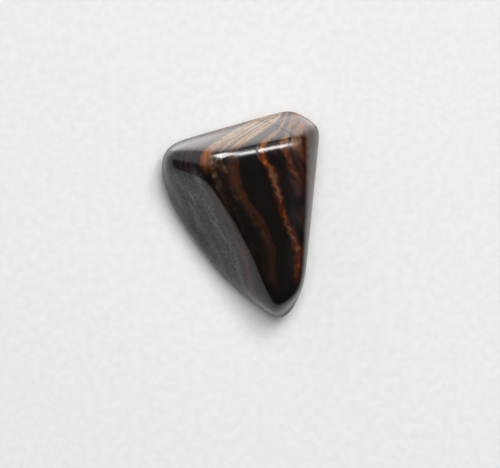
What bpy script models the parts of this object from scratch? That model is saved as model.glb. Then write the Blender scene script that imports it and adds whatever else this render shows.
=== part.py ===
# A tumbled, banded pebble of tiger's eye, all one solid stone.
# It is a rounded wedge: a near-level crown, three sloping sides and a flat foot.
# The broad end points to +Y, the narrow tip to -Y, and +Z is up.
# Lengths are in millimetres, measured from a point in the heart of the stone,
# until the body is stood on its foot at the end.
import math

import bmesh
import bpy
import numpy as np

MM = 0.001

# The worn flats that bound the stone.  Each one is given by its bearing
# anticlockwise from +X, its lean away from straight up (both in degrees)
# and its distance from the heart.
FLATS = {
    "crown": (262, 11, 4.65),
    "shoulder": (163, 39, 6.9),
    "back": (103, 67, 7.75),
    "left side": (216, 57, 3.45),
    "left of tip": (229, 61, 6.0),
    "right side": (355, 66, 7.62),
    "tip": (291, 58, 10.4),
    "right of tip": (324, 83, 9.6),
    "lower back": (106, 79, 8.1),
    "lower left side": (220, 76, 5.2),
    "lower left of tip": (235, 90, 7.1),
    "lower right side": (355, 80, 7.25),
    "lower tip": (291, 74, 10.85),
    "below left corner": (206, 77, 5.65),
    "right girdle": (354, 90, 7.0),
    "upper left corner": (135, 80, 9.6),
    "left corner": (176, 80, 8.4),
    "right corner": (60, 87, 11.2),
    "above right corner": (59, 72, 11.0),
    "under left side": (214, 121, 7.1),
    "under left corner": (176, 120, 8.75),
    "under back": (106, 115, 9.5),
    "under right side": (354, 108, 6.9),
    "under tip": (291, 118, 11.9),
    "underside": (0, 180, 6.5),
}

# Tumbling rounds every edge between two flats; a larger wear is a rounder edge.
WEAR = 0.34

# The left side is very slightly dished, to this radius.
DISHED_FLAT = "left side"
DISH_RADIUS = 50.0

# The foot is a true plane, this far above where the worn underside would end.
FOOT_RISE = 0.04

# The skin is a net of triangles, laid first on a ball that is stretched towards
# the far tip and corners.  The net is then eased over the stone in small steps,
# and its corners crowd by this much towards the rounded edges.
BALL_CUTS = 27
NET_STRETCH = (1.0, 1.4, 0.8)
EASING_ROUNDS = 60
EDGE_PULL = 5.0
FARTHEST = 30.0
HALVINGS = 44

STONE_COLOUR = (0.034, 0.022, 0.016, 1.0)
STONE_ROUGHNESS = 0.16


def facing(bearing, lean):
    """The direction that a flat faces."""
    around = math.radians(bearing)
    down = math.radians(lean)
    return (
        math.sin(down) * math.cos(around),
        math.sin(down) * math.sin(around),
        math.cos(down),
    )


def heights_above_flats(points):
    """How far each point stands outside each worn flat; below zero is inside."""
    heights = []
    for name, (bearing, lean, distance) in FLATS.items():
        out = points @ np.array(facing(bearing, lean))
        height = out - distance
        if name == DISHED_FLAT:
            sideways_squared = (points ** 2).sum(axis=1) - out ** 2
            height = height - sideways_squared / (2 * DISH_RADIUS)
        heights.append(height)
    return np.array(heights)


def height_above_stone(points):
    """How far each point stands outside the stone, edges rounded."""
    heights = heights_above_flats(points)
    tallest = heights.max(axis=0)
    return tallest + WEAR * np.log(np.exp((heights - tallest) / WEAR).sum(axis=0))


def roundness(points):
    """Zero on a flat, and more where two or three flats share a point."""
    heights = heights_above_flats(points)
    shares = np.exp((heights - heights.max(axis=0)) / WEAR)
    shares /= shares.sum(axis=0)
    return 1 - (shares ** 2).sum(axis=0)


def points_on_stone(directions):
    """Where rays from the heart come out of the stone, by halving."""
    inside = np.zeros(len(directions))
    outside = np.full(len(directions), FARTHEST)
    for _ in range(HALVINGS):
        between = (inside + outside) / 2
        beyond = height_above_stone(directions * between[:, None]) > 0
        outside = np.where(beyond, between, outside)
        inside = np.where(beyond, inside, between)
    return directions * inside[:, None]


def stand_on_foot(points):
    """Level the underside and put the origin under the middle of the stone."""
    foot = points[:, 2].min() + FOOT_RISE
    points[:, 2] = np.maximum(points[:, 2], foot) - foot
    low = points.min(axis=0)
    high = points.max(axis=0)
    points[:, :2] -= (low[:2] + high[:2]) / 2
    return points


def polished_stone_material():
    material = bpy.data.materials.new("polished stone")
    material.use_nodes = True
    shader = material.node_tree.nodes["Principled BSDF"]
    shader.inputs["Base Color"].default_value = STONE_COLOUR
    shader.inputs["Roughness"].default_value = STONE_ROUGHNESS
    shader.inputs["Metallic"].default_value = 0.0
    return material


def outward(points):
    return points / np.linalg.norm(points, axis=1, keepdims=True)


def eased_over_stone(directions, ends):
    """Slide the net over the stone until its cells are even and crowd at edges."""
    for _ in range(EASING_ROUNDS):
        points = points_on_stone(directions)
        pull = 1 + EDGE_PULL * roundness(points)
        total = points * pull[:, None]
        weight = pull.copy()
        for near, far in (ends, reversed(ends)):
            np.add.at(total, near, points[far] * pull[far, None])
            np.add.at(weight, near, pull[far])
        directions = outward(total / weight[:, None])
    return points_on_stone(directions)


def make_stone():
    net = bmesh.new()
    bmesh.ops.create_cube(net, size=2.0)
    bmesh.ops.subdivide_edges(net, edges=net.edges, cuts=BALL_CUTS, use_grid_fill=True)
    bmesh.ops.triangulate(net, faces=net.faces)
    ball = outward(np.tan(np.array([corner.co for corner in net.verts]) * math.pi / 4))
    ends = [
        np.array([edge.verts[end].index for edge in net.edges]) for end in (0, 1)
    ]
    points = stand_on_foot(eased_over_stone(outward(ball * NET_STRETCH), ends))
    for corner, point in zip(net.verts, points):
        corner.co = point * MM

    # The triangles that lie in the foot plane become one flat face.
    underside = [
        face for face in net.faces if all(corner.co.z == 0.0 for corner in face.verts)
    ]
    bmesh.ops.dissolve_faces(net, faces=underside, use_verts=True)
    bmesh.ops.recalc_face_normals(net, faces=net.faces)

    mesh = bpy.data.meshes.new("stone")
    net.to_mesh(mesh)
    net.free()
    for face in mesh.polygons:
        face.use_smooth = len(face.vertices) == 3
    mesh.materials.append(polished_stone_material())
    stone = bpy.data.objects.new("stone", mesh)
    bpy.context.scene.collection.objects.link(stone)


for leftover in list(bpy.data.objects):
    bpy.data.objects.remove(leftover)

make_stone()
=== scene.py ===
# A polished, banded pebble of tiger's eye lying on pale paper.
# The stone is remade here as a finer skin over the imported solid, and its bands are
# sheets that run through the whole stone, so they join up from face to face.
import math

import bmesh
import bpy
import numpy as np
from mathutils import Matrix, Vector


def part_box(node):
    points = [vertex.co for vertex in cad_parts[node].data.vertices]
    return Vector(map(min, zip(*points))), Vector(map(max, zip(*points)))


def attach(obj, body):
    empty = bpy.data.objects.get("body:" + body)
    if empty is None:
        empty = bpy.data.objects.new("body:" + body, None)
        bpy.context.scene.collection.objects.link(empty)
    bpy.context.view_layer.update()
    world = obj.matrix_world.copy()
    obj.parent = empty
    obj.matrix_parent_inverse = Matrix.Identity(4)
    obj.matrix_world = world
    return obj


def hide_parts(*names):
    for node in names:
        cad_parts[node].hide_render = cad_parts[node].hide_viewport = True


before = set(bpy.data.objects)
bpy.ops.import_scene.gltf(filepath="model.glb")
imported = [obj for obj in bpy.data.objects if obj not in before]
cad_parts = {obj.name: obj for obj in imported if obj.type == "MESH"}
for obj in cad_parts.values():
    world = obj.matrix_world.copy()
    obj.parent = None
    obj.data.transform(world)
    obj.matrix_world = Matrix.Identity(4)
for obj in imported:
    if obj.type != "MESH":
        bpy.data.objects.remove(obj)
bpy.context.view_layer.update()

MM = 0.001

# The worn flats that bound the stone, in millimetres from its heart: bearing
# anticlockwise from +X, lean away from straight up, and distance from the heart.
FLATS = {
    "crown": (262, 11, 4.65),
    "shoulder": (163, 39, 6.9),
    "back": (103, 67, 7.75),
    "left side": (216, 57, 3.45),
    "left of tip": (229, 61, 6.0),
    "right side": (355, 66, 7.62),
    "tip": (291, 58, 10.4),
    "right of tip": (324, 83, 9.6),
    "lower back": (106, 79, 8.1),
    "lower left side": (220, 76, 5.2),
    "lower left of tip": (235, 90, 7.1),
    "lower right side": (355, 80, 7.25),
    "lower tip": (291, 74, 10.85),
    "below left corner": (206, 77, 5.65),
    "right girdle": (354, 90, 7.0),
    "upper left corner": (135, 80, 9.6),
    "left corner": (176, 80, 8.4),
    "right corner": (60, 87, 11.2),
    "above right corner": (59, 72, 11.0),
    "under left side": (214, 121, 7.1),
    "under left corner": (176, 120, 8.75),
    "under back": (106, 115, 9.5),
    "under right side": (354, 108, 6.9),
    "under tip": (291, 118, 11.9),
    "underside": (0, 180, 6.5),
}
# Tumbling rounds every edge between two flats; a larger wear is a rounder edge.
WEAR = 0.34
# The left side is very slightly dished, to this radius.
DISHED_FLAT = "left side"
DISH_RADIUS = 50.0
# The foot is a true plane, this far above where the worn underside would end.
FOOT_RISE = 0.04
# Where the heart of the stone lies from the middle of its foot.
HEART = (0.387, 0.383, 6.460)

# The skin starts as a net on a ball, is eased over the stone so that its cells
# crowd at the rounded edges, and each cell is then cut finer.
BALL_CUTS = 27
CELL_CUTS = 2
NET_STRETCH = (1.0, 1.4, 0.8)
EASING_ROUNDS = 30
EDGE_PULL = 5.0
FARTHEST = 30.0
HALVINGS = 32


def facing(bearing, lean):
    """The direction that a flat faces."""
    around = math.radians(bearing)
    down = math.radians(lean)
    return (
        math.sin(down) * math.cos(around),
        math.sin(down) * math.sin(around),
        math.cos(down),
    )


def heights_above_flats(points):
    """How far each point stands outside each worn flat; below zero is inside."""
    heights = []
    for name, (bearing, lean, distance) in FLATS.items():
        out = points @ np.array(facing(bearing, lean))
        height = out - distance
        if name == DISHED_FLAT:
            sideways_squared = (points ** 2).sum(axis=1) - out ** 2
            height = height - sideways_squared / (2 * DISH_RADIUS)
        heights.append(height)
    return np.array(heights)


def height_above_stone(points):
    """How far each point stands outside the stone, edges rounded."""
    heights = heights_above_flats(points)
    tallest = heights.max(axis=0)
    return tallest + WEAR * np.log(np.exp((heights - tallest) / WEAR).sum(axis=0))


def roundness(points):
    """Zero on a flat, and more where two or three flats share a point."""
    heights = heights_above_flats(points)
    shares = np.exp((heights - heights.max(axis=0)) / WEAR)
    shares /= shares.sum(axis=0)
    return 1 - (shares ** 2).sum(axis=0)


def points_on_stone(directions):
    """Where rays from the heart come out of the stone, by halving."""
    inside = np.zeros(len(directions))
    outside = np.full(len(directions), FARTHEST)
    for _ in range(HALVINGS):
        between = (inside + outside) / 2
        beyond = height_above_stone(directions * between[:, None]) > 0
        outside = np.where(beyond, between, outside)
        inside = np.where(beyond, inside, between)
    return directions * inside[:, None]


def outward(points):
    return points / np.linalg.norm(points, axis=1, keepdims=True)


def eased_over_stone(directions, ends):
    """Slide the net over the stone until its cells are even and crowd at edges."""
    for _ in range(EASING_ROUNDS):
        points = points_on_stone(directions)
        pull = 1 + EDGE_PULL * roundness(points)
        total = points * pull[:, None]
        weight = pull.copy()
        for near, far in (ends, reversed(ends)):
            np.add.at(total, near, points[far] * pull[far, None])
            np.add.at(weight, near, pull[far])
        directions = outward(total / weight[:, None])
    return directions


def corners_of(net):
    return np.array([corner.co for corner in net.verts])


def place(net, points):
    for corner, point in zip(net.verts, points):
        corner.co = point


def stone_skin():
    """The stone's fine skin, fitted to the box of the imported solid."""
    net = bmesh.new()
    bmesh.ops.create_cube(net, size=2.0)
    bmesh.ops.subdivide_edges(net, edges=net.edges, cuts=BALL_CUTS, use_grid_fill=True)
    ends = [
        np.array([edge.verts[end].index for edge in net.edges]) for end in (0, 1)
    ]
    ball = outward(np.tan(corners_of(net) * math.pi / 4))
    place(net, eased_over_stone(outward(ball * NET_STRETCH), ends))
    bmesh.ops.subdivide_edges(net, edges=net.edges, cuts=CELL_CUTS, use_grid_fill=True)

    points = points_on_stone(outward(corners_of(net)))
    foot = points[:, 2].min() + FOOT_RISE
    points[:, 2] = np.maximum(points[:, 2], foot)
    low, high = (np.array(corner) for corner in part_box("stone"))
    reach = points.max(axis=0) - points.min(axis=0)
    points = low + (points - points.min(axis=0)) * (high - low) / reach
    place(net, points)
    bmesh.ops.recalc_face_normals(net, faces=net.faces)

    mesh = bpy.data.meshes.new("polished_skin")
    net.to_mesh(mesh)
    net.free()
    mesh.shade_smooth()
    skin = bpy.data.objects.new("polished_skin", mesh)
    bpy.context.scene.collection.objects.link(skin)
    return skin


# A Mix node's colour sockets share their names with its others, so they go by number.
MIX_BELOW = 6
MIX_ABOVE = 7
MIX_RESULT = 2


class Field:
    """A number, colour or vector that changes through a piece: one node socket."""

    def __init__(self, bench, socket):
        self.bench = bench
        self.socket = socket

    def _with(self, operation, first, second):
        return self.bench.node(
            "ShaderNodeMath", {"operation": operation}, {0: first, 1: second}
        )

    def __add__(self, other):
        return self._with("ADD", self, other)

    def __radd__(self, other):
        return self._with("ADD", other, self)

    def __sub__(self, other):
        return self._with("SUBTRACT", self, other)

    def __rsub__(self, other):
        return self._with("SUBTRACT", other, self)

    def __mul__(self, other):
        return self._with("MULTIPLY", self, other)

    def __rmul__(self, other):
        return self._with("MULTIPLY", other, self)

    def __abs__(self):
        return self._with("ABSOLUTE", self, 0.0)

    def at_least(self, other):
        return self._with("MAXIMUM", self, other)

    def at_most(self, other):
        return self._with("MINIMUM", self, other)

    def rise(self, start, end):
        """Zero below start, one above end, and smooth between; end may be lower."""
        if start > end:
            return 1 - self.rise(end, start)
        return self.bench.node(
            "ShaderNodeMapRange",
            {"interpolation_type": "SMOOTHSTEP"},
            {"Value": self, "From Min": start, "From Max": end},
        )

    def between(self, start, end, soft_edge):
        """One from start to end, and zero outside them."""
        rising = self.rise(start - soft_edge, start + soft_edge)
        return rising * self.rise(end + soft_edge, end - soft_edge)

    def band(self, middle, half_width, soft_edge):
        """One inside a band about its middle, and zero outside it."""
        return abs(self - middle).rise(half_width + soft_edge, half_width - soft_edge)

    def blend(self, below, above):
        """One colour turning to another as this share goes from zero to one."""
        below, above = (
            (*colour, 1.0) if isinstance(colour, tuple) else colour
            for colour in (below, above)
        )
        return self.bench.node(
            "ShaderNodeMix",
            {"data_type": "RGBA"},
            {0: self, MIX_BELOW: below, MIX_ABOVE: above},
            result=MIX_RESULT,
        )


class Bench:
    """Makes the nodes of one material."""

    def __init__(self, material):
        self.tree = material.node_tree
        self.tree.nodes.clear()

    def node(self, kind, settings, sockets, result=0):
        """One node: its settings first, then the values or links of its sockets."""
        node = self.tree.nodes.new(kind)
        for name, value in settings.items():
            setattr(node, name, value)
        for name, value in sockets.items():
            if isinstance(value, Field):
                self.tree.links.new(value.socket, node.inputs[name])
            else:
                node.inputs[name].default_value = value
        return None if result is None else Field(self, node.outputs[result])

    def place_in_piece(self):
        """Where a point lies in its piece, in metres."""
        return self.node("ShaderNodeTexCoord", {}, {}, result="Object")

    def noise(self, where, size, detail=2.0, roughness=0.5):
        """Cloudy noise, mostly between 0.3 and 0.7, with features of that size."""
        return self.node(
            "ShaderNodeTexNoise",
            {},
            {"Vector": where, "Scale": 1.0 / size, "Detail": detail, "Roughness": roughness},
        )

    def finish(self, looks, relief, strength, distance):
        """The surface, from its looks and from a relief that only shades it."""
        bumps = self.node(
            "ShaderNodeBump",
            {},
            {"Height": relief, "Strength": strength, "Distance": distance},
        )
        shader = self.node("ShaderNodeBsdfPrincipled", {}, {**looks, "Normal": bumps})
        self.node("ShaderNodeOutputMaterial", {}, {"Surface": shader}, result=None)


def new_material(name):
    material = bpy.data.materials.new(name)
    material.use_nodes = True
    return material, Bench(material)


# Linear colours of the stone's minerals. The silk's grey, and the peach and amber of the
# back, are partly a painted sheen.
BLACK = (0.0130, 0.0118, 0.0110)
SMOKE = (0.017, 0.015, 0.013)
SILK_AND_SHEEN = (0.120, 0.116, 0.120)
UMBER = (0.036, 0.020, 0.012)
FAWN = (0.100, 0.053, 0.029)
CREAM = (0.28, 0.20, 0.11)
PEACH = (0.46, 0.28, 0.120)
AMBER = (0.31, 0.125, 0.042)
ORANGE = (0.36, 0.108, 0.022)
RUST = (0.165, 0.052, 0.019)
RED_BROWN = (0.068, 0.021, 0.011)
DULL_TAN = (0.145, 0.080, 0.045)
BROWN = (0.055, 0.029, 0.016)
PLUM = (0.080, 0.038, 0.034)

# The bands' sheets face this way, in the stone's own millimetres from its heart.
SHEET_FACING = (0.61, 0.12, 0.57)
# Towards the right side the sheets bend upright over this range across the stone.
BEND_START = 3.0
BEND_END = 5.0
BEND = 0.6
# Towards the tip every sheet drops by this much over this range along the stone.
TIP_DROP_START = -3.5
TIP_DROP_END = -7.5
TIP_DROP = 0.7
# The crown and the shoulder give way to the sloping back over this range. The bands are
# painted paler on the back, partly in their own colour and partly as a painted sheen.
BACK_START = 5.4
BACK_END = 6.8

# Where the bands lie, as depth through the sheets in millimetres.  It is zero in
# the heart and grows from the left corner towards the right side.
# A sheet of grey silk, partly a painted sheen, has its middle and how soft its edges are.
SILK_AND_SHEEN_SHEETS = ((-1.05, 0.45), (-3.3, 0.5), (-4.9, 0.4))
SILK_AND_SHEEN_HALF_WIDTH = 0.3
# A hairline has its middle and its strength.
HAIRLINES = ((-2.9, 0.25), (-1.7, 0.3), (-1.1, 0.5), (-0.7, 0.5))
# A zone has its start and its end.
PLUM_ZONE = (0.3, 1.35)
ORANGE_ZONE = (0.5, 1.55)
MOTTLED_ZONE = (1.35, 3.0)
PEACH_ZONE = (0.85, 3.65)
# A split has its middle and half its width.
BLACK_SPLITS = ((1.85, 0.09), (2.45, 0.07))
BROWN_STREAK = 1.5
BLACK_STREAK = 2.0
BROWN_BAND = 3.05
BRIGHT_BAND = 5.12
NICK = 4.78
RIGHT_END_START = 5.5
RIGHT_END_FULL = 6.1
# A thin band has its middle, half its width, and how far along the stone it fades.
THIN_BANDS = ((6.6, 0.24, 2.8), (7.35, 0.26, 5.0))
# One band stands upright instead, this far across the stone.
UPRIGHT_BAND = 6.65

POLISH_ROUGHNESS = 0.13
STONE_IOR = 1.5


class BandedStone:
    """Places and noises within the stone, in millimetres from its heart."""

    def __init__(self, bench):
        self.bench = bench
        from_foot = bench.node(
            "ShaderNodeVectorMath",
            {"operation": "SCALE"},
            {0: bench.place_in_piece(), "Scale": 1 / MM},
        )
        self.where = bench.node(
            "ShaderNodeVectorMath", {"operation": "SUBTRACT"}, {0: from_foot, 1: HEART}
        )
        self.x, self.y, self.z = (
            bench.node("ShaderNodeSeparateXYZ", {}, {0: self.where}, result=axis)
            for axis in "XYZ"
        )
        self.back = self.y.rise(BACK_START, BACK_END)
        self.depth = self.depth_through_sheets()
        self.sideways = SHEET_FACING[2] * self.x - SHEET_FACING[0] * self.z

        sway = bench.noise(self.where, 4.5, detail=1.0) - 0.5
        self.ripple = bench.noise(self.where, 1.3) - 0.5
        jag = bench.noise(self.where, 0.42, detail=1.0) - 0.5
        level = self.depth + 0.35 * sway + 0.5 * self.ripple + 0.2 * jag
        self.level = level + TIP_DROP * self.y.rise(TIP_DROP_START, TIP_DROP_END)

        self.patch = bench.noise(self.where, 2.6, detail=1.0)
        self.cloud = bench.noise(self.where, 0.9)
        self.fleck = bench.noise(self.where, 0.24)
        self.streak = self.grain(thickness=0.55, length=3.6, detail=2.0, shift=11.0)
        self.fine = self.grain(thickness=0.26, length=2.2, detail=2.0, shift=3.0)
        self.hair = self.grain(thickness=0.13, length=2.6, detail=1.0, shift=17.0)
        self.speck = self.grain(thickness=0.3, length=0.6, detail=1.0, shift=5.0)

    def depth_through_sheets(self):
        """Depth with the sheets bent upright, under the crown, near the right side."""
        bearing, lean, distance = FLATS["crown"]
        across, along, up = facing(bearing, lean)
        crown_height = (distance - across * self.x - along * self.y) * (1 / up)
        below_crown = (crown_height - self.z).at_least(0.0)
        bent_height = self.z + BEND * self.x.rise(BEND_START, BEND_END) * below_crown
        across, along, up = SHEET_FACING
        return across * self.x + along * self.y + up * bent_height

    def grain(self, thickness, length, detail, shift):
        """Noise drawn out along the sheets, so many millimetres thick and long."""
        stretched = self.bench.node(
            "ShaderNodeCombineXYZ",
            {},
            {
                "X": self.depth * (1 / thickness) + shift,
                "Y": self.y * (1 / length),
                "Z": self.sideways * (1 / length),
            },
        )
        return self.bench.noise(stretched, 1.0, detail)


def dark_ground(stone):
    """Near black, with smoky streaks."""
    smoky = stone.streak.rise(0.46, 0.68) * stone.patch.rise(0.4, 0.6)
    return smoky.blend(BLACK, SMOKE)


def silk_and_sheen_sheets(stone, colour):
    """Grey silk in the dark left end, in sheets that bow towards the left corner. The grey
    is partly the fibres' own colour and partly a painted sheen.
    """
    bowed = stone.level - 0.25 * abs(stone.y + 1.5).at_most(3.0)
    silk_and_sheen = sum(
        bowed.band(middle, SILK_AND_SHEEN_HALF_WIDTH, soft_edge)
        for middle, soft_edge in SILK_AND_SHEEN_SHEETS
    )
    silk_and_sheen = silk_and_sheen * (0.1 + 0.35 * stone.streak.rise(0.4, 0.6))
    silk_and_sheen = silk_and_sheen + 0.3 * stone.fine.rise(0.44, 0.66)
    silk_and_sheen = silk_and_sheen + 0.2 * stone.hair.rise(0.46, 0.66)
    silk_and_sheen = silk_and_sheen + 0.4 * stone.fleck.rise(0.44, 0.62)
    left_end = stone.level.rise(0.7, -0.1) * (1 - 0.8 * stone.y.rise(3.0, 4.6))
    # The grey streaks are partly the silk's own colour and partly its sheen painted into the
    # colour.
    return (silk_and_sheen.at_most(1.0) * left_end).blend(colour, SILK_AND_SHEEN)


def orange_hairlines(stone, colour):
    """Fine lines near the left corner, which go on wider and paler over the back, where the
    paler amber is partly a painted sheen.
    """
    for middle, strength in HAIRLINES:
        line = stone.level.band(middle, 0.04, 0.12) * stone.y.rise(2.4, 4.2)
        colour = (line * strength).blend(colour, RUST)
        wider_line = stone.level.band(middle, 0.08, 0.2) * stone.back
        colour = (wider_line * 0.8).blend(colour, AMBER)
    return colour


def orange_edge(stone, colour):
    """The broad band's edge, plum brown where it runs down to the tip."""
    plum_zone = stone.level.between(*PLUM_ZONE, 0.3) * stone.y.rise(3.0, 1.4)
    plum_mix = stone.streak.rise(0.35, 0.6).blend(BLACK, PLUM)
    colour = (plum_zone * 0.9).blend(colour, plum_mix)
    orange_zone = stone.level.between(*ORANGE_ZONE, 0.18) * stone.y.rise(3.2, 5.6)
    orange_mix = stone.fine.rise(0.4, 0.62).blend(RUST, ORANGE)
    # Peach on the back: partly the edge's own colour, partly a painted sheen.
    peachy = stone.y.rise(5.6, 7.0) * stone.cloud.rise(0.35, 0.6)
    return orange_zone.blend(colour, peachy.blend(orange_mix, PEACH))


def mottled_zone(stone, colour):
    """Olive and cream mottling within the broad band, darker down the crown."""
    mottle = stone.cloud.rise(0.42, 0.64).blend(UMBER, FAWN)
    mottle = (stone.fine.rise(0.5, 0.64) * 0.75).blend(mottle, RED_BROWN)
    creamy = stone.speck.rise(0.5, 0.74) * stone.y.rise(1.0, 4.6)
    mottle = (creamy * 0.8).blend(mottle, CREAM)
    sooty = stone.speck.rise(0.5, 0.38) * stone.y.rise(3.4, 1.8)
    mottle = (sooty * 0.7).blend(mottle, BLACK)
    mottle = (stone.streak.rise(0.5, 0.38) * 0.85).blend(mottle, BLACK)
    fading = 0.25 + 0.7 * stone.y.rise(-1.0, 4.6)
    return (stone.level.between(*MOTTLED_ZONE, 0.25) * fading).blend(colour, mottle)


def streaks_on_crown(stone, colour):
    """A brown streak and a wider black one, which run down the crown."""
    brown = stone.level.band(BROWN_STREAK, 0.08, 0.16)
    brown = brown * stone.y.rise(3.8, 2.0) * stone.y.rise(-5.5, -1.0)
    colour = (brown * 0.8).blend(colour, BROWN)
    middle = BLACK_STREAK + 0.6 * stone.y.rise(2.0, -0.8)
    black = abs(stone.level - middle).rise(0.42, 0.12) * stone.y.rise(4.8, 2.8)
    return (black * 0.85).blend(colour, BLACK)


def peach_and_sheen_on_back(stone, colour):
    """Peach and amber in the broad band on the back, partly the band's own colour and
    partly a painted sheen, and two black lines that split the band from high on the crown."""
    peach_and_sheen_mix = stone.fine.rise(0.38, 0.6).blend(AMBER, PEACH)
    peach_and_sheen_mix = (stone.streak.rise(0.46, 0.36) * 0.8).blend(peach_and_sheen_mix, DULL_TAN)
    colour = (stone.level.between(*PEACH_ZONE, 0.15) * stone.back).blend(colour, peach_and_sheen_mix)
    for middle, half_width in BLACK_SPLITS:
        split = stone.level.band(middle, half_width, 0.08) * stone.y.rise(3.0, 5.0)
        colour = (split * 0.8).blend(colour, BLACK)
    return colour


def brown_band(stone, colour):
    """A brown band with a red-brown right edge.  It swings to the left below the
    ridge, and to the right again down the crown."""
    middle = BROWN_BAND - 0.35 * stone.y.rise(4.8, 3.4) + 0.75 * stone.y.rise(2.4, -2.0)
    off_middle = stone.level - middle
    brown_mix = stone.cloud.rise(0.5, 0.68).blend(BROWN, FAWN)
    brown_mix = (stone.fine.rise(0.48, 0.38) * 0.8).blend(brown_mix, UMBER)
    brown_mix = off_middle.rise(0.0, 0.2).blend(brown_mix, RED_BROWN)
    strength = 0.45 + 0.4 * stone.y.rise(-4.5, 2.0)
    strength = strength * stone.y.between(-7.4, 5.9, 0.6)
    band = off_middle.rise(0.42, 0.24) * off_middle.rise(-0.55, 0.0)
    return (band * strength).blend(colour, brown_mix)


def bright_band(stone, colour):
    """The bright band down the middle of the black.  It has red-brown edges, and a
    core that goes from rust to tan, to rust again and to brown at the tip."""
    middle = BRIGHT_BAND + 0.12 * stone.y.between(2.6, 4.4, 0.6)
    off_middle = abs(stone.level - middle) + 0.5 * (stone.cloud - 0.5)
    off_middle = off_middle + 0.07 * stone.y.rise(2.4, 0.6) - 0.1 * stone.back
    core = (stone.speck.rise(0.45, 0.7) * stone.y.rise(0.0, 5.0)).blend(RUST, ORANGE)
    core = (stone.y.between(0.9, 4.0, 0.5) * 0.9).blend(core, DULL_TAN)
    core_at_tip = stone.speck.rise(0.44, 0.6).blend(RED_BROWN, DULL_TAN)
    core = (stone.y.rise(-0.6, -2.2) * 0.9).blend(core, core_at_tip)
    # On the back the core turns amber: partly its own colour, partly a painted sheen.
    core = stone.back.blend(core, AMBER)
    bright_mix = off_middle.rise(0.2, 0.06).blend(RED_BROWN, core)
    band = off_middle.rise(0.38, 0.2) * stone.y.rise(-7.8, -6.2)
    return band.blend(colour, bright_mix)


def reddish_clouds(stone, colour):
    """Plum clouds and red-brown streaks in the black of the right end."""
    right_end = stone.level.rise(RIGHT_END_START, RIGHT_END_FULL)
    plum = stone.streak.rise(0.4, 0.62) * stone.patch.rise(0.35, 0.55)
    colour = (plum * right_end * 0.55).blend(colour, PLUM)
    red_brown = stone.fine.rise(0.48, 0.6) * stone.y.rise(0.0, 4.5)
    return (red_brown * right_end * 0.7).blend(colour, RED_BROWN)


def rusty_mix(stone):
    return stone.cloud.rise(0.4, 0.6).blend(RED_BROWN, RUST)


def thin_bands(stone, colour):
    """Thin bands in the right end, which fade out below the ridge."""
    back_tone_and_sheen = stone.cloud.rise(0.4, 0.6).blend(DULL_TAN, AMBER)
    for middle, half_width, fade in THIN_BANDS:
        off_middle = abs(stone.level - middle) + 0.3 * (stone.speck - 0.5)
        band = off_middle.rise(half_width, 0.04)
        band = band * stone.y.rise(fade - 0.8, fade + 1.6)
        colour = band.blend(colour, rusty_mix(stone))
        # On the back the bands widen into tan and amber, partly their own colour and partly
        # a painted sheen.
        colour = (off_middle.rise(0.4, 0.2) * stone.back).blend(colour, back_tone_and_sheen)
    return colour


def upright_band(stone, colour):
    """A band inside the right edge, which steps inwards and turns tan below the
    middle of the stone."""
    across = stone.x + 0.058 * stone.y + 0.25 * stone.ripple
    across = across + 0.5 * stone.y.rise(0.0, -1.6)
    band = abs(across - UPRIGHT_BAND).rise(0.45, 0.05)
    tan_mix = stone.speck.rise(0.42, 0.6).blend(RED_BROWN, DULL_TAN)
    upright_mix = stone.y.rise(0.4, -1.6).blend(rusty_mix(stone), tan_mix)
    return (band * 0.8).blend(colour, upright_mix)


def healed_crack(stone):
    """One along a healed crack that crosses the back."""
    off_crack = stone.z - 2.0 * stone.x + 4.2 + 0.6 * stone.ripple
    return abs(off_crack).rise(0.2, 0.04) * stone.y.rise(6.4, 7.4)


def nick_in_ridge(stone):
    """One in a small nick in the ridge."""
    return abs(stone.depth - NICK).rise(0.1, 0.02) * stone.y.between(5.0, 6.6, 0.3)


def polished_tigers_eye():
    material, bench = new_material("polished tiger's eye")
    stone = BandedStone(bench)
    colour = dark_ground(stone)
    for lay_over in (
        silk_and_sheen_sheets,
        orange_hairlines,
        orange_edge,
        mottled_zone,
        streaks_on_crown,
        peach_and_sheen_on_back,
        brown_band,
        bright_band,
        reddish_clouds,
        thin_bands,
        upright_band,
    ):
        colour = lay_over(stone, colour)
    crack = healed_crack(stone)
    nick = nick_in_ridge(stone)
    colour = (crack * 0.7).blend(colour, BLACK)

    # The polish is duller on the right side, and most of all low on every side.
    roughness = POLISH_ROUGHNESS + 0.06 * stone.cloud
    roughness = roughness + 0.13 * stone.x.rise(3.6, 5.2)
    roughness = roughness + 0.3 * stone.z.rise(1.0, -1.7) + 0.2 * (nick + crack)
    hills = bench.noise(stone.where, 1.8)
    pits = bench.noise(stone.where, 0.16, detail=1.0).rise(0.3, 0.2)
    bench.finish(
        {"Base Color": colour, "Roughness": roughness, "IOR": STONE_IOR},
        relief=hills * 0.02 - pits * 0.002 - nick * 0.004 - crack * 0.03,
        strength=0.6,
        distance=MM,
    )
    return material


PAPER = (0.86, 0.86, 0.85)
PAPER_SHADED = (0.82, 0.82, 0.81)
PAPER_ROUGHNESS = 0.9
PAPER_SHEEN = 0.2
FIBRE_LENGTH = 0.8 * MM
FIBRE_RELIEF = 0.05 * MM
PAPER_HALF_WIDTH = 60 * MM
# A wider sheet carries the paper on to the horizon, just below it.
SURROUND_HALF_WIDTH = 3.0
SURROUND_LEVEL = -0.02 * MM


def pale_paper():
    material, bench = new_material("pale paper")
    fibres = bench.noise(bench.place_in_piece(), FIBRE_LENGTH, detail=4.0, roughness=0.6)
    bench.finish(
        {
            "Base Color": fibres.rise(0.3, 0.7).blend(PAPER_SHADED, PAPER),
            "Roughness": PAPER_ROUGHNESS,
            "Specular IOR Level": PAPER_SHEEN,
        },
        relief=fibres,
        strength=0.3,
        distance=FIBRE_RELIEF,
    )
    return material


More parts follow.
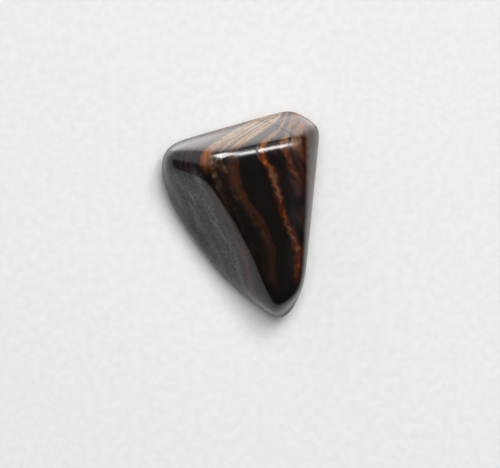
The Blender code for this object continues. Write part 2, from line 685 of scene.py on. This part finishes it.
def sheet_of_paper(name, half_width, level, material):
    """A square sheet, laid under the stone."""
    mesh = bpy.data.meshes.new(name)
    corners = [
        (across * half_width, along * half_width, level)
        for across, along in ((-1, -1), (1, -1), (1, 1), (-1, 1))
    ]
    mesh.from_pydata(corners, [], [(0, 1, 2, 3)])
    mesh.materials.append(material)
    sheet = bpy.data.objects.new(name, mesh)
    bpy.context.scene.collection.objects.link(sheet)
    return sheet


PANEL_DISTANCE = 0.5
CARD_LEVEL = 0.4 * MM


def towards(bearing, elevation):
    """The direction of something seen from the stone, from angles in degrees."""
    return Vector(facing(bearing, 90 - elevation))


def panel_light(name, size, glow, in_polish):
    """A glowing rectangle, either mirrored in the polish or else casting light."""
    light = bpy.data.lights.new(name, "AREA")
    light.shape = "RECTANGLE"
    light.size, light.size_y = size
    light.energy = glow * math.pi * size[0] * size[1]
    panel = bpy.data.objects.new(name, light)
    bpy.context.scene.collection.objects.link(panel)
    panel.visible_glossy = in_polish
    panel.visible_diffuse = not in_polish
    panel.visible_camera = False
    return panel


def soft_panel(name, one_end, other_end, width, glow, in_polish):
    """A panel that faces the stone.  It reaches from one direction to another, each
    given by its bearing and its elevation."""
    one_end, other_end = (
        PANEL_DISTANCE * towards(*end) for end in (one_end, other_end)
    )
    length = (other_end - one_end).length
    panel = panel_light(name, (length, width), glow, in_polish)
    panel.location = (one_end + other_end) / 2
    lengthways = (other_end - one_end).normalized()
    backwards = panel.location.normalized()
    upwards = backwards.cross(lengthways)
    turn = Matrix((lengthways, upwards, backwards)).transposed()
    panel.rotation_euler = turn.to_euler()


def card_on_paper(name, bearing, near, far, left, right, glow):
    """A white card lying beside the stone, which its polish mirrors."""
    card = panel_light(name, (far - near, left + right), glow, in_polish=True)
    ahead = towards(bearing, 0)
    leftwards = towards(bearing + 90, 0)
    card.location = ahead * (near + far) / 2 + leftwards * (left - right) / 2
    card.location.z = CARD_LEVEL
    card.rotation_euler = (math.pi, 0.0, math.radians(bearing))


# The camera looks straight down, and the picture has this many pixels to the
# millimetre at the level of the paper.
CAMERA_ACROSS = 0.987 * MM
CAMERA_ALONG = -2.017 * MM
CAMERA_HEIGHT = 250 * MM
PIXELS_PER_MM = 9.68
PICTURE_WIDTH = 500
SENSOR_WIDTH = 36.0
NEAREST_SEEN = 1 * MM


def overhead_camera():
    lens = bpy.data.cameras.new("overhead camera")
    lens.sensor_fit = "HORIZONTAL"
    lens.sensor_width = SENSOR_WIDTH
    lens.lens = PIXELS_PER_MM / MM * CAMERA_HEIGHT * SENSOR_WIDTH / PICTURE_WIDTH
    lens.clip_start = NEAREST_SEEN
    camera = bpy.data.objects.new("overhead camera", lens)
    camera.location = (CAMERA_ACROSS, CAMERA_ALONG, CAMERA_HEIGHT)
    bpy.context.scene.collection.objects.link(camera)
    bpy.context.scene.camera = camera


ROOM_TINT = (0.95, 0.98, 1.0)


def room_light(brightness):
    world = bpy.data.worlds.new("room")
    world.use_nodes = True
    background = world.node_tree.nodes["Background"]
    background.inputs["Color"].default_value = (*ROOM_TINT, 1.0)
    background.inputs["Strength"].default_value = brightness
    world.cycles_visibility.glossy = False
    bpy.context.scene.world = world
    bpy.context.scene.view_settings.view_transform = "Standard"
    bpy.context.scene.view_settings.look = "Medium High Contrast"


skin = stone_skin()
skin.data.materials.append(polished_tigers_eye())
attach(skin, "root")
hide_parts("stone")

paper = pale_paper()
sheet_of_paper("paper", PAPER_HALF_WIDTH, 0.0, paper)
surround = sheet_of_paper("paper surround", SURROUND_HALF_WIDTH, SURROUND_LEVEL, paper)
surround.visible_glossy = False

# Two lamps light the stone's colours and cast its shadow.
soft_panel("key lamp", (62, 61), (62, 88), width=0.16, glow=12.9, in_polish=False)
soft_panel("top lamp", (90, 80), (270, 80), width=0.17, glow=4.8, in_polish=False)
# The rest is seen only in the polish: along the ridge, on the shoulder and the back.
soft_panel("bright strip", (238, 86), (130, 68), width=0.05, glow=24.0, in_polish=True)
soft_panel("wide strip", (139, 64), (127, 12), width=0.17, glow=15.0, in_polish=True)
soft_panel("pale panel", (103, 16), (166, 16), width=0.55, glow=0.9, in_polish=True)
card_on_paper(
    "white card",
    bearing=104,
    near=8.7 * MM,
    far=60 * MM,
    left=6.5 * MM,
    right=13 * MM,
    glow=0.8,
)
room_light(brightness=0.075)
overhead_camera()
